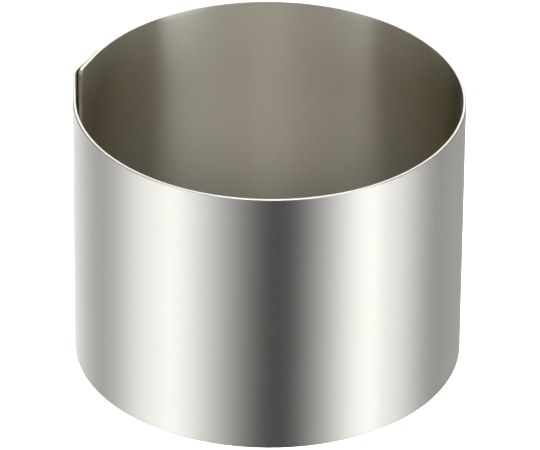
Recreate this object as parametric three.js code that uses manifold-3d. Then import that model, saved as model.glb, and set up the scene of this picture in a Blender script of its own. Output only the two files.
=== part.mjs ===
// A pastry ring: one strip of stainless sheet, rolled until its ends lap and closed by spot welds.
// The ring stands on its lower rim at Z = 0, its axis is Z, and the lap lies on the -X side.

import * as THREE from 'three';
import { mergeVertices } from 'three/addons/utils/BufferGeometryUtils.js';
import Module from 'manifold-3d';

// Driving dimensions, in millimetres. Angles are in degrees, counted from +X towards +Y.

// The rolled strip
const boreDiameter = 60;
const bandHeight = 45;
const sheetThickness = 0.6;
const edgeBreak = 0.12; // corner that deburring takes off the cut rims

// The lap, where the outer end of the strip passes over the inner end
const flatAngle = 156; // where the inner end stops following the circle
const innerFlat = 5; // straight stretch that rolling leaves at the inner end
const lapLength = 8; // how far the outer end reaches past the inner end
const lapGap = 0.12; // air between the two layers
const kinkClearance = 0.6; // from the inner end to the bend that lifts the outer layer over it
const kinkRadius = 5; // of that bend, at the middle of the sheet

// The spot welds, one above the other along the middle of the lap
const weldCount = 4;
const weldEdgeDistance = 5; // from a rim to the nearest weld
const nuggetDiameter = 2.2;
const nuggetSkin = 0.25; // thickness of each layer that stays unmelted over a nugget
const nuggetClearance = 0.04; // all round a nugget in its pocket
const markDiameter = 2.8; // shallow dish that the electrodes press into both faces
const markDepth = 0.06;

// Fineness of the round stretches
const facetAngle = 2.5;
const kinkFacets = 4;
const lensSides = 20;
const lensRings = 8;

// Sizes that follow from the driving dimensions
const halfSheet = sheetThickness / 2;
const meanRadius = boreDiameter / 2 + halfSheet;
const layerStep = sheetThickness + lapGap;
const lapRadius = meanRadius + layerStep;
const innerEnd = -innerFlat;
const outerEnd = innerEnd + lapLength;
const weldAlong = (innerEnd + outerEnd) / 2;
const weldRadius = (meanRadius + lapRadius) / 2;
const weldPitch = (bandHeight - 2 * weldEdgeDistance) / (weldCount - 1);
const nuggetHalfDepth = lapGap / 2 + sheetThickness - nuggetSkin;
const lapTurn = THREE.MathUtils.degToRad(flatAngle - 90);

const wasm = await Module();
wasm.setup();

// Sheet material, as rolled and as melted
const brushedStainless = { color: 0xb8b4ac, roughness: 0.32, metalness: 1 };
const weldedStainless = { color: 0x98948c, roughness: 0.45, metalness: 1 };

// A point of the plan by radius and angle
function polar(radius, degrees) {
  const angle = THREE.MathUtils.degToRad(degrees);
  return new THREE.Vector2(radius * Math.cos(angle), radius * Math.sin(angle));
}

// A point of the plan by its distance along the lap, clockwise from the flat's start, and out from the axis
function lapPoint(along, outwards) {
  return new THREE.Vector2(along, outwards).rotateAround(new THREE.Vector2(), lapTurn);
}

// The rolled stretch of the strip, clockwise
function rolledStretch(startAngle, endAngle) {
  const span = startAngle - endAngle;
  const steps = Math.ceil(span / facetAngle);
  return Array.from({ length: steps + 1 }, (_, i) => polar(meanRadius, startAngle - (span * i) / steps));
}

// The bend between two straight stretches that meet at a corner
function roundedCorner(from, corner, to, radius) {
  const back = from.clone().sub(corner).normalize();
  const ahead = to.clone().sub(corner).normalize();
  const turn = Math.PI - Math.acos(back.dot(ahead));
  const reach = radius * Math.tan(turn / 2);
  const start = corner.clone().addScaledVector(back, reach);
  const end = corner.clone().addScaledVector(ahead, reach);
  return new THREE.QuadraticBezierCurve(start, corner, end).getPoints(kinkFacets);
}

// The middle of the sheet in plan, from the inner end clockwise round to the outer end
function sheetMiddle() {
  const kink = lapPoint(innerEnd - kinkClearance, lapRadius);
  const kinkAngle = THREE.MathUtils.radToDeg(kink.angle());
  const tangentAngle = THREE.MathUtils.radToDeg(Math.acos(meanRadius / kink.length()));
  const leaveAngle = kinkAngle + tangentAngle - 360;
  const rolled = rolledStretch(flatAngle, leaveAngle);
  const outerTip = lapPoint(outerEnd, lapRadius);
  return [
    lapPoint(innerEnd, meanRadius),
    ...rolled,
    ...roundedCorner(rolled.at(-1), kink, outerTip, kinkRadius),
    outerTip,
  ];
}

// The line beside a route at a fixed distance, positive to the left
function beside(route, distance) {
  const legs = route.slice(1).map((point, i) => point.clone().sub(route[i]).normalize());
  return route.map((point, i) => {
    const arriving = legs[Math.max(i - 1, 0)];
    const leaving = legs[Math.min(i, legs.length - 1)];
    const mitre = new THREE.Vector2(-arriving.y - leaving.y, arriving.x + leaving.x);
    mitre.multiplyScalar(distance / (1 + arriving.dot(leaving)));
    return point.clone().add(mitre);
  });
}

// A closed geometry as a solid that can be cut
function solidFrom(geometry) {
  const bare = geometry.clone();
  bare.deleteAttribute('normal');
  bare.deleteAttribute('uv');
  const merged = mergeVertices(bare);
  return new wasm.Manifold(new wasm.Mesh({
    numProp: 3,
    vertProperties: new Float32Array(merged.attributes.position.array),
    triVerts: new Uint32Array(merged.index.array),
  }));
}

// A solid back as a geometry
function geometryFrom(solid) {
  const mesh = solid.getMesh();
  const geometry = new THREE.BufferGeometry();
  geometry.setAttribute('position', new THREE.BufferAttribute(mesh.vertProperties, 3));
  geometry.setIndex(new THREE.BufferAttribute(mesh.triVerts, 1));
  geometry.computeVertexNormals();
  return geometry;
}

// A lens whose axis is Y, the direction through the two layers of the lap
function lens(diameter, halfDepth) {
  const geometry = new THREE.SphereGeometry(1, lensSides, lensRings);
  return geometry.scale(diameter / 2, halfDepth, diameter / 2);
}

// Height of each weld above the lower rim
function weldHeights() {
  return Array.from({ length: weldCount }, (_, i) => weldEdgeDistance + i * weldPitch);
}

// What a weld takes out of the strip: the nugget's pocket and the dish on each face
function weldCuts(height) {
  const pocket = lens(nuggetDiameter + 2 * nuggetClearance, nuggetHalfDepth + nuggetClearance);
  const cuts = [
    pocket.translate(weldAlong, weldRadius, height),
    lens(markDiameter, markDepth).translate(weldAlong, meanRadius - halfSheet, height),
    lens(markDiameter, markDepth).translate(weldAlong, lapRadius + halfSheet, height),
  ];
  return cuts.map((cut) => solidFrom(cut.rotateZ(lapTurn)));
}

// The strip: its plan drawn up to the full height, with both rims deburred and the welds' places cut out
function ringBand() {
  const middle = sheetMiddle();
  const outline = [...beside(middle, halfSheet), ...beside(middle, -halfSheet).reverse()];
  const drawn = new THREE.ExtrudeGeometry(new THREE.Shape(outline), {
    depth: bandHeight - 2 * edgeBreak,
    bevelEnabled: true,
    bevelSegments: 1,
    bevelSize: edgeBreak,
    bevelOffset: -edgeBreak,
    bevelThickness: edgeBreak,
  });
  let band = solidFrom(drawn.translate(0, 0, edgeBreak));
  for (const cut of weldHeights().flatMap(weldCuts)) {
    band = band.subtract(cut);
  }
  const mesh = new THREE.Mesh(geometryFrom(band), new THREE.MeshStandardMaterial(brushedStainless));
  mesh.name = 'ring_band';
  return mesh;
}

// The row of weld nuggets, in a group turned to face the lap
function spotWelds() {
  const row = new THREE.Group();
  row.rotation.z = lapTurn;
  weldHeights().forEach((height, i) => {
    const nugget = new THREE.Mesh(
      lens(nuggetDiameter, nuggetHalfDepth),
      new THREE.MeshStandardMaterial(weldedStainless),
    );
    nugget.name = `spot_weld_${i + 1}`;
    nugget.position.set(weldAlong, weldRadius, height);
    row.add(nugget);
  });
  return row;
}

const pastryRing = new THREE.Group();
pastryRing.add(ringBand(), spotWelds());

export default pastryRing;
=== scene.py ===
# A brushed stainless pastry ring, seen from above its front on a pale table in soft studio light.
import math

import bmesh
import bpy
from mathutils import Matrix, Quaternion, Vector


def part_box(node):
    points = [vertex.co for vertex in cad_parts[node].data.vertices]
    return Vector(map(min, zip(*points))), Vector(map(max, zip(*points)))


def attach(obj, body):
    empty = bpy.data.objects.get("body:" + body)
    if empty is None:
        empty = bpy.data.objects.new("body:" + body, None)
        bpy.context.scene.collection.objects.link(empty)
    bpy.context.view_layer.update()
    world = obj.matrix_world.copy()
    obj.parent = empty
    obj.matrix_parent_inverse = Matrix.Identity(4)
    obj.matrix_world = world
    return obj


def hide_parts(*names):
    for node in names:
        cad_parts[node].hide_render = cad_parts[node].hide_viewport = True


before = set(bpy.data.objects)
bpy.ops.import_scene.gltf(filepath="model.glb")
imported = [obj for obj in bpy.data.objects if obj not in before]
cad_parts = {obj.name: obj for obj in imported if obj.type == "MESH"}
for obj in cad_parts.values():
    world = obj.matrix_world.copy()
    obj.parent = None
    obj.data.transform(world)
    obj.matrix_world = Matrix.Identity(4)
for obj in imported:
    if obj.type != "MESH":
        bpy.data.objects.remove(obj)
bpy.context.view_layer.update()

MM = 0.001

# The rolled strip, in millimetres. Angles are in degrees, counted from +X towards +Y.
BAND_LOW, BAND_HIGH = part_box("ring_band")
BAND_HEIGHT = (BAND_HIGH.z - BAND_LOW.z) / MM
SHEET = 0.6
BORE_RADIUS = 30.0
MEAN_RADIUS = BORE_RADIUS + SHEET / 2

# The finish of its edges: the radii of the corners and of the tips at both ends, how far from the rims a tip
# pulls the wall, and the slight roll-over of the inner face towards each rim
INNER_CORNER = 0.07
OUTER_CORNER = 0.15
END_CORNER = 0.1
TIP_RADIUS = 1.0
TIP_REACH = 3.0
ROLLOVER = 0.1
ROLLOVER_REACH = 1.2

# The lap on the left, where the outer end of the strip passes over the inner end. Distances along it are
# counted clockwise from where the flat of the inner end meets the arc.
FLAT_ANGLE = 156.0
LAP_TURN = math.radians(FLAT_ANGLE - 90)
INNER_FLAT = 5.0
LAP_LENGTH = 8.0
LAP_GAP = 0.12
WELDED_GAP = 0.015
LAPPED_CORNER = 0.06
KINK_CLEARANCE = 0.6
KINK_RADIUS = 5.0
LAP_RADIUS = MEAN_RADIUS + SHEET + LAP_GAP
INNER_END = -INNER_FLAT
OUTER_END = INNER_END + LAP_LENGTH

# The spot welds along the middle of the lap
WELDS = [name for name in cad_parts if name.startswith("spot_weld")]
WELD_HEIGHTS = [sum(corner.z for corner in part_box(name)) / 2 / MM for name in WELDS]
WELD_ALONG = (INNER_END + OUTER_END) / 2
MARK_RADIUS = 1.4
MARK_SLOPE = 0.5 * MARK_RADIUS
MARK_DEPTH = 0.06
NUGGET_RADIUS = 1.1
NUGGET_HALF_DEPTH = 0.41
NUGGET_CLEARANCE = 0.04
HEAT_REACH = 3.0
POCKET_RADIUS = NUGGET_RADIUS + NUGGET_CLEARANCE
POCKET_HALF_DEPTH = NUGGET_HALF_DEPTH + NUGGET_CLEARANCE
NUGGET_MIDDLE = (MEAN_RADIUS + LAP_RADIUS) / 2
INNER_POCKET = MEAN_RADIUS + SHEET / 2 - NUGGET_MIDDLE + POCKET_HALF_DEPTH
OUTER_POCKET = NUGGET_MIDDLE + POCKET_HALF_DEPTH - MEAN_RADIUS - SHEET / 2 - WELDED_GAP

# Fineness of the mesh: degrees round the arc, and millimetres or counts elsewhere
ARC_STEP = 1.5
LAP_STEP = 1.0
ROW_STEP = 2.5
WELD_STEP = 0.3
FINE_ALONG = 2 * MARK_RADIUS
FINE_UP = 1.5 * MARK_RADIUS
LEAST_ROW_GAP = WELD_STEP / 3
CORNER_SUPPORT = 0.04
KINK_STEPS = 8
ROLLOVER_STEPS = 8
TIP_STEPS = 6
END_CORNER_STEPS = 3
INNER_CORNER_STEPS = 3
OUTER_CORNER_STEPS = 6
STOP_DIGITS = 4
COUNT_SLACK = 1e-9

# The band's material slots
WALL_SLOT = 0
EDGE_SLOT = 1


def clamped(value):
    """The value held between 0 and 1."""
    return min(1.0, max(0.0, value))


def eased(share):
    """A share from 0 to 1 that starts and ends gently."""
    return share * share * (3 - 2 * share)


def spread(start, end, step):
    """Even stops from start to end, both included, no further apart than step."""
    count = max(1, math.ceil(abs(end - start) / step - COUNT_SLACK))
    return [start + (end - start) * i / count for i in range(count + 1)]


def quarter_turns(steps):
    """Even angles over a quarter turn, in degrees, both ends included."""
    return [90 * step / steps for step in range(steps + 1)]


def polar(radius, degrees):
    """A point of the plan by radius and angle."""
    angle = math.radians(degrees)
    return Vector((radius * math.cos(angle), radius * math.sin(angle)))


def lap_point(along, outwards):
    """A point of the plan by its distance along the lap and out from the axis, square to the flat."""
    return Vector((
        along * math.cos(LAP_TURN) - outwards * math.sin(LAP_TURN),
        along * math.sin(LAP_TURN) + outwards * math.cos(LAP_TURN),
    ))


def lap_stops(start, end):
    """Stops along the lap, close together beside the welds."""
    stops = spread(start, end, LAP_STEP)
    stops += spread(max(start, WELD_ALONG - FINE_ALONG), min(end, WELD_ALONG + FINE_ALONG), WELD_STEP)
    return sorted({round(stop, STOP_DIGITS) for stop in stops})


def rounded_corner(before, corner, after, radius):
    """The bend between two straight stretches that meet at a corner."""
    back = (before - corner).normalized()
    ahead = (after - corner).normalized()
    reach = radius * math.tan((math.pi - back.angle(ahead)) / 2)
    start, end = corner + back * reach, corner + ahead * reach
    points = []
    for step in range(KINK_STEPS + 1):
        t = step / KINK_STEPS
        points.append(start * (1 - t) ** 2 + corner * (2 * t * (1 - t)) + end * t ** 2)
    return points


def strip_route():
    """The middle of the sheet in plan, clockwise from the inner end to the outer end.

    Each stop is its point, the layer of the lap that it lies in and its distance along the lap.
    """
    kink = lap_point(INNER_END - KINK_CLEARANCE, LAP_RADIUS)
    kink_angle = math.degrees(math.atan2(kink.y, kink.x))
    leave = kink_angle + math.degrees(math.acos(MEAN_RADIUS / kink.length)) - 360
    route = [(lap_point(along, MEAN_RADIUS), "inner", along) for along in lap_stops(INNER_END, 0.0)[:-1]]
    for degrees in spread(FLAT_ANGLE, leave, ARC_STEP):
        along = MEAN_RADIUS * math.radians(FLAT_ANGLE - degrees)
        layer = "inner" if along < LAP_LENGTH else None
        route.append((polar(MEAN_RADIUS, degrees), layer, along))
    bend = rounded_corner(polar(MEAN_RADIUS, leave), kink, lap_point(0.0, LAP_RADIUS), KINK_RADIUS)
    route += [(point, None, 0.0) for point in bend]
    bend_end = bend[-1].x * math.cos(LAP_TURN) + bend[-1].y * math.sin(LAP_TURN)
    for along in lap_stops(bend_end, OUTER_END)[1:]:
        closed = eased(clamped((along - bend_end) / (WELD_ALONG - bend_end)))
        radius = MEAN_RADIUS + SHEET + LAP_GAP + (WELDED_GAP - LAP_GAP) * closed
        if along > 0:
            point = polar(radius, FLAT_ANGLE - math.degrees(along / MEAN_RADIUS))
        else:
            point = lap_point(along, radius)
        route.append((point, "outer", along))
    return route


def wall_rows():
    """Heights of the rows that both faces share, close together beside the rims and the welds."""
    rolled = spread(OUTER_CORNER + CORNER_SUPPORT, ROLLOVER_REACH, ROLLOVER_REACH / ROLLOVER_STEPS)
    rows = spread(ROLLOVER_REACH, BAND_HEIGHT - ROLLOVER_REACH, ROW_STEP)
    for height in WELD_HEIGHTS:
        rows += spread(height - FINE_UP, height + FINE_UP, WELD_STEP)
    rows += rolled
    rows += [BAND_HEIGHT - row for row in rolled]
    ordered = sorted({round(row, STOP_DIGITS) for row in rows})
    return [row for i, row in enumerate(ordered) if i == 0 or row - ordered[i - 1] > LEAST_ROW_GAP]


def quarter_round(centre, radius, start, steps):
    """Points of a quarter turn clockwise round a centre, in the section's offset and height."""
    points = []
    for turn in quarter_turns(steps):
        angle = math.radians(start - turn)
        points.append((centre[0] + radius * math.cos(angle), centre[1] + radius * math.sin(angle)))
    return points


def inner_face(height, rollover):
    """Offset of the inner face from the middle of the sheet. It rolls over a little towards each rim."""
    from_rim = min(height, BAND_HEIGHT - height)
    near = clamped(1 - from_rim / ROLLOVER_REACH)
    return -SHEET / 2 + rollover * near * near


def sheet_section(rows, outer_corner, rollover):
    """The section as a closed loop: offset from the sheet's middle, height, and where the next face belongs.

    It goes up the inner face, over the upper rim, down the outer face and under the lower rim.
    """
    half = SHEET / 2
    inner_edge = inner_face(INNER_CORNER, rollover)
    inner_lip = inner_edge + INNER_CORNER
    outer_lip = half - outer_corner
    inner_top, outer_top = BAND_HEIGHT - INNER_CORNER, BAND_HEIGHT - outer_corner
    top_inner = quarter_round((inner_lip, inner_top), INNER_CORNER, start=180, steps=INNER_CORNER_STEPS)
    top_outer = quarter_round((outer_lip, outer_top), outer_corner, start=90, steps=OUTER_CORNER_STEPS)
    low_outer = quarter_round((outer_lip, outer_corner), outer_corner, start=0, steps=OUTER_CORNER_STEPS)
    low_inner = quarter_round((inner_lip, INNER_CORNER), INNER_CORNER, start=-90, steps=INNER_CORNER_STEPS)
    loop = [(inner_face(row, rollover), row, "wall") for row in rows]
    loop += [(inner_edge, inner_top, "rim")]
    loop += [(x, z, "rim") for x, z in top_inner[1:]]
    loop += [(x, z, "rounding") for x, z in top_outer[:-1]]
    loop += [(half, outer_top, "wall")]
    loop += [(half, row, "wall") for row in reversed(rows)]
    loop += [(x, z, "rounding") for x, z in low_outer[:-1]]
    loop += [(x, z, "rim") for x, z in low_outer[-1:] + low_inner[:-1]]
    loop += [(inner_edge, INNER_CORNER, "wall")]
    return loop


def rim_corner(layer, along):
    """Radius of the rim's outer corner, pressed small where the outer layer of the lap lies against it."""
    if layer != "inner":
        return OUTER_CORNER
    open_share = clamped((along - OUTER_END) / TIP_RADIUS)
    return LAPPED_CORNER + (OUTER_CORNER - LAPPED_CORNER) * open_share


def rim_rollover(layer, along):
    """Depth of the roll-over, which ends where the outer layer of the lap comes down on the inner one."""
    if layer != "outer":
        return ROLLOVER
    touching = clamped((along - INNER_END - KINK_CLEARANCE) / ROLLOVER_REACH)
    return ROLLOVER * (1 - touching)


def tip_drop(from_end, height):
    """How far the rounded corners of the strip's ends pull a point towards half height."""
    if from_end >= TIP_RADIUS:
        return 0.0
    drop = TIP_RADIUS - math.sqrt(TIP_RADIUS ** 2 - (TIP_RADIUS - from_end) ** 2)
    upper = clamped((height - BAND_HEIGHT + TIP_REACH) / (TIP_REACH - ROLLOVER_REACH))
    lower = clamped((TIP_REACH - height) / (TIP_REACH - ROLLOVER_REACH))
    return drop * (upper - lower)


def weld_press(layer, along, offset, height):
    """How far the face is pressed into the sheet at a weld: the electrode's dish or the nugget's pocket."""
    if layer is None:
        return 0.0
    outside = offset > 0
    dished = outside == (layer == "outer")
    pocket = OUTER_POCKET if layer == "outer" else INNER_POCKET
    depth = 0.0
    for weld in WELD_HEIGHTS:
        away = math.hypot(along - WELD_ALONG, height - weld)
        if dished and away < MARK_RADIUS:
            depth = max(depth, MARK_DEPTH * eased(clamped((MARK_RADIUS - away) / MARK_SLOPE)))
        elif not dished and away < POCKET_RADIUS:
            depth = max(depth, pocket * math.sqrt(1 - (away / POCKET_RADIUS) ** 2))
    return depth


def weld_warmth(layer, along, height):
    """Share of the weld's heat that a point of the lap has felt, from 1 at a weld to 0 well away."""
    if layer is None:
        return 0.0
    away = min(math.hypot(along - WELD_ALONG, height - weld) for weld in WELD_HEIGHTS)
    return clamped(1 - away / HEAT_REACH)


def rounded_ends(route):
    """The route with more stops at both ends, where the sheet's corners and tips are rounded.

    Each stop then also has the inset of its faces and its distance from the end.
    """
    stops = [(point, layer, along, 0.0, TIP_RADIUS) for point, layer, along in route]
    tip_turns = quarter_turns(TIP_STEPS)[1:-1]
    for end, neighbour, onwards in ((0, 1, 1), (-1, -2, -1)):
        tip, layer, along, _, _ = stops[end]
        inwards = (stops[neighbour][0] - tip).normalized()
        depths = {END_CORNER * (1 - math.sin(math.radians(turn))) for turn in quarter_turns(END_CORNER_STEPS)}
        depths.update(TIP_RADIUS * (1 - math.cos(math.radians(turn))) for turn in tip_turns)
        extra = []
        for depth in sorted(depths, reverse=True):
            rounding = max(0.0, END_CORNER - depth)
            inset = END_CORNER - math.sqrt(END_CORNER ** 2 - rounding ** 2)
            extra.append((tip + inwards * depth, layer, along + onwards * depth, inset, depth))
        if end == 0:
            stops[:1] = reversed(extra)
        else:
            stops[-1:] = extra
    return stops


def strip_points(stops, rows):
    """The points of a section at every stop, the heat that each has felt and its place on the flat strip."""
    legs = [(b[0] - a[0]).normalized() for a, b in zip(stops, stops[1:])]
    run = [0.0]
    for a, b in zip(stops, stops[1:]):
        run.append(run[-1] + (b[0] - a[0]).length)
    points, warmth, places = [], [], []
    for i, (middle, layer, along, inset, from_end) in enumerate(stops):
        arriving, leaving = legs[max(i - 1, 0)], legs[min(i, len(legs) - 1)]
        mitre = Vector((-arriving.y - leaving.y, arriving.x + leaving.x)) / (1 + arriving.dot(leaving))
        for offset, height, _ in sheet_section(rows, rim_corner(layer, along), rim_rollover(layer, along)):
            press = weld_press(layer, along, offset, height)
            kept = math.copysign(min(abs(offset), SHEET / 2 - inset) - press, offset)
            spot = middle + mitre * kept
            points.append(Vector((spot.x, spot.y, height - tip_drop(from_end, height))) * MM)
            warmth.append(weld_warmth(layer, along, height))
            places.append((run[i] * MM, (height + offset) * MM))
    return points, warmth, places


def strip_faces(sections, rows):
    """The faces that join so many sections and close both ends, with the material slot of each.

    Each end is closed by one face at the top, one at the bottom and quads between the rows.
    """
    kinds = [kind for _, _, kind in sheet_section(rows, OUTER_CORNER, ROLLOVER)]
    count = len(kinds)
    faces, slots = [], []
    for i in range(sections - 1):
        for j in range(count):
            after = (j + 1) % count
            faces.append((i * count + j, i * count + after, (i + 1) * count + after, (i + 1) * count + j))
            slots.append(EDGE_SLOT if kinds[j] == "rim" else WALL_SLOT)
    outer_high = len(rows) + kinds[len(rows):].index("wall")
    outer_low = outer_high + len(rows)
    for base in (0, (sections - 1) * count):
        top = tuple(range(base + len(rows) - 1, base + outer_high + 2))
        low = (*range(base + outer_low, base + count), base)
        between = [
            (base + row, base + row + 1, base + outer_low - row - 1, base + outer_low - row)
            for row in range(len(rows) - 1)
        ]
        closing = [top, low, *between]
        faces += closing
        slots += [EDGE_SLOT] * len(closing)
    return faces, slots


def make_band():
    """The strip as one closed mesh: its section carried along the route, with its weld marks."""
    stops = rounded_ends(strip_route())
    rows = wall_rows()
    points, warmth, places = strip_points(stops, rows)
    faces, slots = strip_faces(len(stops), rows)
    mesh = bpy.data.meshes.new("ring_band_sheet")
    mesh.from_pydata(points, [], faces)
    mesh.polygons.foreach_set("material_index", slots)
    mesh.polygons.foreach_set("use_smooth", [True] * len(faces))
    mesh.attributes.new("weld_heat", "FLOAT", "POINT").data.foreach_set("value", warmth)
    strip = mesh.uv_layers.new(name="strip")
    for loop in mesh.loops:
        strip.data[loop.index].uv = places[loop.vertex_index]
    shape = bmesh.new()
    shape.from_mesh(mesh)
    bmesh.ops.recalc_face_normals(shape, faces=shape.faces)
    shape.to_mesh(mesh)
    shape.free()
    band = bpy.data.objects.new("ring_band_sheet", mesh)
    bpy.context.scene.collection.objects.link(band)
    return band


def linear(hex_colour):
    """An sRGB hex colour as linear RGBA."""
    channels = [int(hex_colour[i:i + 2], 16) / 255 for i in (1, 3, 5)]
    return (*[c / 12.92 if c <= 0.04045 else ((c + 0.055) / 1.055) ** 2.4 for c in channels], 1.0)


def add_node(tree, kind, inputs=(), **settings):
    """A node with its settings, each input set to a value or linked from another node's output."""
    node = tree.nodes.new(kind)
    for name, value in settings.items():
        setattr(node, name, value)
    for socket, value in dict(inputs).items():
        if isinstance(value, bpy.types.NodeSocket):
            tree.links.new(value, node.inputs[socket])
        else:
            node.inputs[socket].default_value = value
    return node


def new_material(name):
    """An empty node material and its tree."""
    material = bpy.data.materials.new(name)
    material.use_nodes = True
    material.node_tree.nodes.clear()
    return material, material.node_tree


# The sockets of a Mix node that mixes colours, by number because their names repeat
MIX_SHARE = 0
MIX_FROM = 6
MIX_TO = 7
MIXED = 2

# Sizes of the metals' patterns, in millimetres. Real brush lines are about 0.04 wide and real shear lines
# about 0.05 apart: too fine to show at this size, so both are drawn coarser.
BRUSH_LINE_WIDTH = 0.22
BRUSH_LINE_LENGTH = 24.0
BRUSH_LINE_DEPTH = 0.0006
CLOUD_WIDTH = 9.0
CLOUD_LENGTH = 18.0
SHEAR_LINE_WIDTH = 0.25
SHEAR_LINE_LENGTH = 3.0
SHEAR_LINE_DEPTH = 0.003
MOTTLE_SIZE = 0.35

# Roughness of each finish, from its smoothest grains to its roughest
BRUSHED_ROUGHNESS = (0.29, 0.33)
EDGE_ROUGHNESS = (0.24, 0.38)
WELD_ROUGHNESS = (0.4, 0.62)

# The smear of reflections on the brushed wall, as a share of a full turn from the brush lines
QUARTER_TURN = 0.25

# The straw colour round a weld: the shares of heat at which it starts and is full, how strong it is there and
# how much it dulls the steel
STRAW_START = 0.2
STRAW_FULL = 0.6
STRAW_SHARE = 0.14
STRAW_DULLING = 0.5


def strip_noise(tree, along, across, detail):
    """Noise laid out on the strip, with its grains so long round the ring and so wide up the wall."""
    place = add_node(tree, "ShaderNodeUVMap", uv_map="strip")
    scaled = add_node(tree, "ShaderNodeVectorMath", {
        0: place.outputs["UV"],
        1: (1 / (along * MM), 1 / (across * MM), 1.0),
    }, operation="MULTIPLY")
    noise = {"Vector": scaled.outputs["Vector"], "Scale": 1.0, "Detail": detail}
    return add_node(tree, "ShaderNodeTexNoise", noise, noise_dimensions="2D").outputs["Fac"]


def brushed_stainless():
    """Stainless sheet, cold-rolled and belt-brushed along the strip.

    To the eye it is a warm grey metal whose fine lines, round the ring, smear every reflection upright.
    Rolling leaves it faintly cloudy, and each spot weld leaves a dulled dish with a breath of straw colour
    round it.
    """
    material, tree = new_material("stainless_sheet_brushed")
    lines = strip_noise(tree, BRUSH_LINE_LENGTH, BRUSH_LINE_WIDTH, detail=3.0)
    clouds = strip_noise(tree, CLOUD_LENGTH, CLOUD_WIDTH, detail=2.0)
    heat = add_node(tree, "ShaderNodeAttribute", attribute_name="weld_heat").outputs["Fac"]
    lined = add_node(tree, "ShaderNodeMix", {
        MIX_SHARE: lines,
        MIX_FROM: linear("#c6c0ae"),
        MIX_TO: linear("#cdc8b6"),
    }, data_type="RGBA")
    clouded = add_node(tree, "ShaderNodeMix", {
        MIX_SHARE: clouds,
        MIX_FROM: lined.outputs[MIXED],
        MIX_TO: linear("#c9c3b3"),
    }, data_type="RGBA")
    straw = add_node(tree, "ShaderNodeMapRange", {
        "Value": heat,
        "From Min": STRAW_START,
        "From Max": STRAW_FULL,
        "To Max": STRAW_SHARE,
    }, interpolation_type="SMOOTHSTEP")
    tinted = add_node(tree, "ShaderNodeMix", {
        MIX_SHARE: straw.outputs["Result"],
        MIX_FROM: clouded.outputs[MIXED],
        MIX_TO: linear("#c3aa7b"),
    }, data_type="RGBA")
    brushed = add_node(tree, "ShaderNodeMapRange", {
        "Value": lines,
        "To Min": BRUSHED_ROUGHNESS[0],
        "To Max": BRUSHED_ROUGHNESS[1],
    })
    dulled = add_node(tree, "ShaderNodeMath", {
        0: straw.outputs["Result"],
        1: STRAW_DULLING,
        2: brushed.outputs["Result"],
    }, operation="MULTIPLY_ADD")
    bump = add_node(tree, "ShaderNodeBump", {
        "Height": lines,
        "Strength": 1.0,
        "Distance": BRUSH_LINE_DEPTH * MM,
    })
    tangent = add_node(tree, "ShaderNodeTangent", direction_type="UV_MAP", uv_map="strip")
    shader = add_node(tree, "ShaderNodeBsdfPrincipled", {
        "Base Color": tinted.outputs[MIXED],
        "Metallic": 1.0,
        "Roughness": dulled.outputs["Value"],
        "Specular Tint": linear("#dedbd5"),
        "Anisotropic": 1.0,
        "Anisotropic Rotation": QUARTER_TURN,
        "Normal": bump.outputs["Normal"],
        "Tangent": tangent.outputs["Tangent"],
    })
    add_node(tree, "ShaderNodeOutputMaterial", {"Surface": shader.outputs["BSDF"]})
    return material


def deburred_edge():
    """Sheared stainless edge, deburred on a belt: a bright line with fine marks across the thickness."""
    material, tree = new_material("stainless_edge_deburred")
    marks = strip_noise(tree, SHEAR_LINE_WIDTH, SHEAR_LINE_LENGTH, detail=2.0)
    colour = add_node(tree, "ShaderNodeMix", {
        MIX_SHARE: marks,
        MIX_FROM: linear("#cbc4af"),
        MIX_TO: linear("#e1d9c4"),
    }, data_type="RGBA")
    rough = add_node(tree, "ShaderNodeMapRange", {
        "Value": marks,
        "To Min": EDGE_ROUGHNESS[0],
        "To Max": EDGE_ROUGHNESS[1],
    })
    bump = add_node(tree, "ShaderNodeBump", {
        "Height": marks,
        "Strength": 1.0,
        "Distance": SHEAR_LINE_DEPTH * MM,
    })
    shader = add_node(tree, "ShaderNodeBsdfPrincipled", {
        "Base Color": colour.outputs[MIXED],
        "Metallic": 1.0,
        "Roughness": rough.outputs["Result"],
        "Normal": bump.outputs["Normal"],
    })
    add_node(tree, "ShaderNodeOutputMaterial", {"Surface": shader.outputs["BSDF"]})
    return material


def welded_stainless():
    """Stainless melted and set again in a spot weld: duller than the sheet and mottled by its grains."""
    material, tree = new_material("stainless_weld_as_melted")
    place = add_node(tree, "ShaderNodeTexCoord")
    mottle = add_node(tree, "ShaderNodeTexNoise", {
        "Vector": place.outputs["Object"],
        "Scale": 1 / (MOTTLE_SIZE * MM),
        "Detail": 3.0,
    }).outputs["Fac"]
    colour = add_node(tree, "ShaderNodeMix", {
        MIX_SHARE: mottle,
        MIX_FROM: linear("#8f8b83"),
        MIX_TO: linear("#bdb8ae"),
    }, data_type="RGBA")
    rough = add_node(tree, "ShaderNodeMapRange", {
        "Value": mottle,
        "To Min": WELD_ROUGHNESS[0],
        "To Max": WELD_ROUGHNESS[1],
    })
    shader = add_node(tree, "ShaderNodeBsdfPrincipled", {
        "Base Color": colour.outputs[MIXED],
        "Metallic": 1.0,
        "Roughness": rough.outputs["Result"],
    })
    add_node(tree, "ShaderNodeOutputMaterial", {"Surface": shader.outputs["BSDF"]})
    return material


# The tabletop's half width in metres, and the glowing card just under it, inside the ring: its depth, where
# along Y its painted shade starts and is full, in millimetres, its strengths and the degrees between its
# corners
FLOOR_REACH = 3.0
CARD_DEPTH = 0.05
CARD_SHADE_START = 6.0
CARD_SHADE_END = 10.0
CARD_FRONT = 1.24
CARD_MIDDLE = 0.75
CARD_SHADED = 0.11
CARD_STEP = 3


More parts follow.
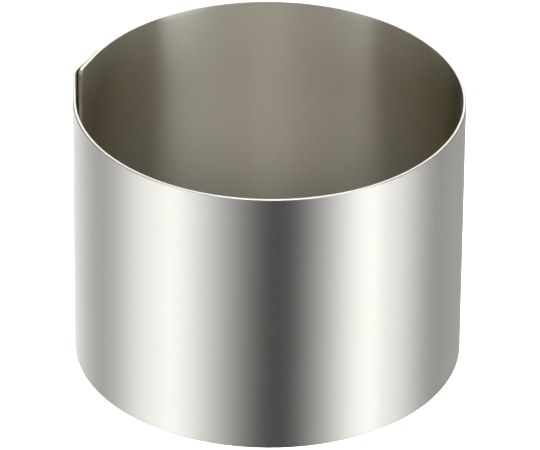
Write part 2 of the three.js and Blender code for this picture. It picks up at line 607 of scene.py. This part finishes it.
def stage_sheet(name, outline, material):
    """A flat piece of the stage from its outline."""
    mesh = bpy.data.meshes.new(name)
    mesh.from_pydata(outline, [], [tuple(range(len(outline)))])
    mesh.materials.append(material)
    sheet = bpy.data.objects.new(name, mesh)
    bpy.context.scene.collection.objects.link(sheet)
    return sheet


def pale_floor():
    """A plain pale tabletop. The steel mirrors the card and the low glows instead of it."""
    material, tree = new_material("tabletop_matt_white")
    shader = add_node(tree, "ShaderNodeBsdfDiffuse", {"Color": linear("#f4f4f2")})
    add_node(tree, "ShaderNodeOutputMaterial", {"Surface": shader.outputs["BSDF"]})
    corners = [(x * FLOOR_REACH, y * FLOOR_REACH, 0) for x, y in ((-1, -1), (1, -1), (1, 1), (-1, 1))]
    floor = stage_sheet("tabletop", corners, material)
    floor.visible_glossy = False
    floor.visible_shadow = False


def inside_card():
    """A bright glowing card for the lit table inside the ring, as the steel mirrors it, with painted shade
    along its back.

    It lies just under the tabletop, so that only the steel shows it.
    """
    material, tree = new_material("table_glow_inside")
    place = add_node(tree, "ShaderNodeTexCoord")
    parts = add_node(tree, "ShaderNodeSeparateXYZ", {0: place.outputs["Object"]})
    # Painted light: the glow fades from the card's front towards its middle
    ramp = add_node(tree, "ShaderNodeMapRange", {
        "Value": parts.outputs["Y"],
        "From Min": -BORE_RADIUS * MM,
        "From Max": CARD_SHADE_START * MM,
        "To Min": CARD_FRONT,
        "To Max": CARD_MIDDLE,
    })
    # Painted shade: the glow drops to a dim band along the card's back, where the wall would shade the table
    shade = add_node(tree, "ShaderNodeMapRange", {
        "Value": parts.outputs["Y"],
        "From Min": CARD_SHADE_START * MM,
        "From Max": CARD_SHADE_END * MM,
        "To Min": ramp.outputs["Result"],
        "To Max": CARD_SHADED,
    }, interpolation_type="SMOOTHSTEP")
    light = add_node(tree, "ShaderNodeEmission", {
        "Color": linear("#fffdfe"),
        "Strength": shade.outputs["Result"],
    })
    add_node(tree, "ShaderNodeOutputMaterial", {"Surface": light.outputs["Emission"]})
    rim = [polar(MEAN_RADIUS, degrees) * MM for degrees in range(0, 360, CARD_STEP)]
    stage_sheet("inside_card", [(point.x, point.y, -CARD_DEPTH * MM) for point in rim], material)


# The camera, fitted to the rim and base edges in the photograph's 540 x 450 frame. Its aim is in millimetres
# from the ring's middle, and its distance and clipping are in metres.
FRAME_WIDTH = 540
SENSOR_WIDTH = 36.0
CAMERA_DISTANCE = 1.0
CAMERA_ELEVATION = 31.64
CAMERA_ROLL = 0.55
FOCAL_PIXELS = 6361.0
AIM_RIGHT = 0.25
AIM_DOWN = 0.63
CLIP_START = 0.1
CLIP_END = 20.0


def make_camera():
    """The photograph's viewpoint: a long lens a metre away, looking down at the front."""
    elevation = math.radians(CAMERA_ELEVATION)
    back = Vector((0, -math.cos(elevation), math.sin(elevation)))
    up = Vector((0, math.sin(elevation), math.cos(elevation)))
    middle = Vector((0, 0, BAND_HEIGHT / 2 * MM))
    eye = middle + back * CAMERA_DISTANCE
    aim = middle + Vector((AIM_RIGHT * MM, 0, 0)) - up * AIM_DOWN * MM
    camera = bpy.data.objects.new("camera", bpy.data.cameras.new("camera"))
    camera.data.sensor_width = SENSOR_WIDTH
    camera.data.lens = FOCAL_PIXELS * SENSOR_WIDTH / FRAME_WIDTH
    camera.data.clip_start = CLIP_START
    camera.data.clip_end = CLIP_END
    level = (aim - eye).to_track_quat("-Z", "Y")
    camera.rotation_mode = "QUATERNION"
    camera.rotation_quaternion = level @ Quaternion((0, 0, 1), math.radians(CAMERA_ROLL))
    camera.location = eye
    bpy.context.scene.collection.objects.link(camera)
    bpy.context.scene.camera = camera


# The studio's panels of light: the edges of each in degrees, from left to right and from low to high, and
# how far in from each edge it takes to reach its full strength. Seen from above, the outer wall mirrors what
# lies low, so its glows are under the horizon. The inner wall mirrors the panels in front.
FRONT_LEFT = -151.2
FRONT_RIGHT = -25.2
GLOW_UP = (-62, 0)
STRIP_UP = (0, 16)
BANK_UP = (16, 52)
EDGE_UP = (22, 70)
SKIRT_UP = (0, 14)
LEFT_GLOW = {"across": (-218.5, -85), "up": GLOW_UP, "fade": (64, 66, 31, 31), "strength": 3.13}
RIGHT_GLOW = {"across": (-82.5, 34.5), "up": GLOW_UP, "fade": (58, 54, 31, 31), "strength": 2.87}
BACK_LEFT_GLOW = {"across": (60, 179), "up": GLOW_UP, "fade": (60, 80, 31, 31), "strength": 2.8}
BACK_RIGHT_GLOW = {"across": (0, 130), "up": GLOW_UP, "fade": (50, 80, 31, 31), "strength": 1.03}
BACK_VEIL = {"across": (58, 122), "up": BANK_UP, "fade": (16, 16, 12, 10), "strength": 1.4}
BACK_PANEL = {"across": (50, 130), "up": (36, 84), "fade": (30, 30, 14, 14), "strength": 4.0}
FRONT_STRIP = {"across": (FRONT_LEFT, FRONT_RIGHT), "up": STRIP_UP, "fade": (1, 1, 2, 6), "strength": 1.5}
LEFT_WING = {"across": (FRONT_LEFT, -110), "up": STRIP_UP, "fade": (1, 41, 2, 6), "strength": 1.41}
LEFT_BANK = {"across": (FRONT_LEFT, -128), "up": BANK_UP, "fade": (1, 23, 4, 4), "strength": 2.0}
LEFT_EDGE = {"across": (-236, FRONT_LEFT), "up": EDGE_UP, "fade": (40, 1, 10, 10), "strength": 0.3}
LEFT_SKIRT = {"across": (-236, FRONT_LEFT), "up": SKIRT_UP, "fade": (40, 1, 3, 8), "strength": 1.5}
RIGHT_WING = {"across": (-62, FRONT_RIGHT), "up": STRIP_UP, "fade": (36, 1, 2, 6), "strength": 3.8}
RIGHT_BANK = {"across": (-85, FRONT_RIGHT), "up": BANK_UP, "fade": (58, 1, 4, 4), "strength": 2.45}
RIGHT_EDGE = {"across": (FRONT_RIGHT, 60), "up": EDGE_UP, "fade": (1, 40, 10, 10), "strength": 0.3}
RIGHT_SKIRT = {"across": (FRONT_RIGHT, 60), "up": SKIRT_UP, "fade": (1, 40, 3, 8), "strength": 1.6}
OVERHEAD = {"across": (-180, 180), "up": (70, 90), "fade": (1, 1, 5, 1), "strength": 3.0}
STUDIO_LIGHTS = (
    LEFT_GLOW, RIGHT_GLOW, BACK_LEFT_GLOW, BACK_RIGHT_GLOW, BACK_VEIL, BACK_PANEL, FRONT_STRIP, LEFT_WING,
    LEFT_BANK, LEFT_EDGE, LEFT_SKIRT, RIGHT_WING, RIGHT_BANK, RIGHT_EDGE, RIGHT_SKIRT, OVERHEAD,
)

# Their cool colour, as linear RGBA
LIGHT_TINT = (1.011, 1.068, 1.238, 1.0)

# The lights on the table alone: azimuth and elevation that each comes from, in degrees, and its strength
TOP_LIGHT = (90, 90, 2.2)
LOW_LIGHTS = [(azimuth, 30, 6.0) for azimuth in (90, 210, 330)]
TABLE_LIGHTS = (TOP_LIGHT, *LOW_LIGHTS)
TABLE_LIGHT_SPREAD = 40


def panel_light(tree, direction, light):
    """The strength of one panel over the sky: full inside, fading to nothing at each of its four edges."""
    left, right = (math.radians(edge) for edge in light["across"])
    low, high = (math.radians(edge) for edge in light["up"])
    left_fade, right_fade, low_fade, high_fade = (math.radians(fade) for fade in light["fade"])
    half = (right - left) / 2
    turned = add_node(tree, "ShaderNodeVectorRotate", {
        "Vector": direction,
        "Angle": -(left + right) / 2,
    }, rotation_type="Z_AXIS")
    parts = add_node(tree, "ShaderNodeSeparateXYZ", {0: turned.outputs["Vector"]})
    across = add_node(tree, "ShaderNodeMath", {
        0: parts.outputs["Y"],
        1: parts.outputs["X"],
    }, operation="ARCTAN2")
    height = add_node(tree, "ShaderNodeMath", {0: parts.outputs["Z"]}, operation="ARCSINE")
    edges = (
        (across, -half, left_fade),
        (across, half, -right_fade),
        (height, low, low_fade),
        (height, high, -high_fade),
    )
    strength = light["strength"]
    for angle, edge, fade in edges:
        shade = add_node(tree, "ShaderNodeMapRange", {
            "Value": angle.outputs["Value"],
            "From Min": edge,
            "From Max": edge + fade,
        }, interpolation_type="SMOOTHSTEP")
        faded = {0: shade.outputs["Result"], 1: strength}
        strength = add_node(tree, "ShaderNodeMath", faded, operation="MULTIPLY").outputs["Value"]
    return strength


def make_studio():
    """Low glows all round, a strip in front with taller banks at its ends, and panels behind and overhead.

    The steel mirrors them on a dark surround. Past the table the camera sees plain white.
    """
    world = bpy.data.worlds.new("studio")
    world.use_nodes = True
    tree = world.node_tree
    tree.nodes.clear()
    direction = add_node(tree, "ShaderNodeTexCoord").outputs["Generated"]
    total = panel_light(tree, direction, STUDIO_LIGHTS[0])
    for light in STUDIO_LIGHTS[1:]:
        both = {0: total, 1: panel_light(tree, direction, light)}
        total = add_node(tree, "ShaderNodeMath", both, operation="ADD").outputs["Value"]
    lights = add_node(tree, "ShaderNodeBackground", {"Color": LIGHT_TINT, "Strength": total})
    white = add_node(tree, "ShaderNodeBackground", {"Color": linear("#ffffff")})
    path = add_node(tree, "ShaderNodeLightPath")
    seen = add_node(tree, "ShaderNodeMixShader", {
        0: path.outputs["Is Camera Ray"],
        1: lights.outputs["Background"],
        2: white.outputs["Background"],
    })
    add_node(tree, "ShaderNodeOutputWorld", {"Surface": seen.outputs["Shader"]})
    bpy.context.scene.world = world


def make_table_lights():
    """Lights that fall on the table alone, from above and three low sides, so that no shadow goes dark."""
    for azimuth, elevation, strength in TABLE_LIGHTS:
        light = bpy.data.objects.new("table_light", bpy.data.lights.new("table_light", "SUN"))
        light.data.energy = strength
        light.data.angle = math.radians(TABLE_LIGHT_SPREAD)
        light.rotation_euler = (math.radians(90 - elevation), 0, math.radians(azimuth + 90))
        light.visible_glossy = False
        bpy.context.scene.collection.objects.link(light)


make_camera()
make_studio()
make_table_lights()
pale_floor()
inside_card()
band = make_band()
band.data.materials.append(brushed_stainless())
band.data.materials.append(deburred_edge())
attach(band, "root")
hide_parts("ring_band")
weld_metal = welded_stainless()
for name in WELDS:
    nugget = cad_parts[name]
    nugget.data.materials.clear()
    nugget.data.materials.append(weld_metal)

bpy.context.scene.view_settings.view_transform = "Standard"
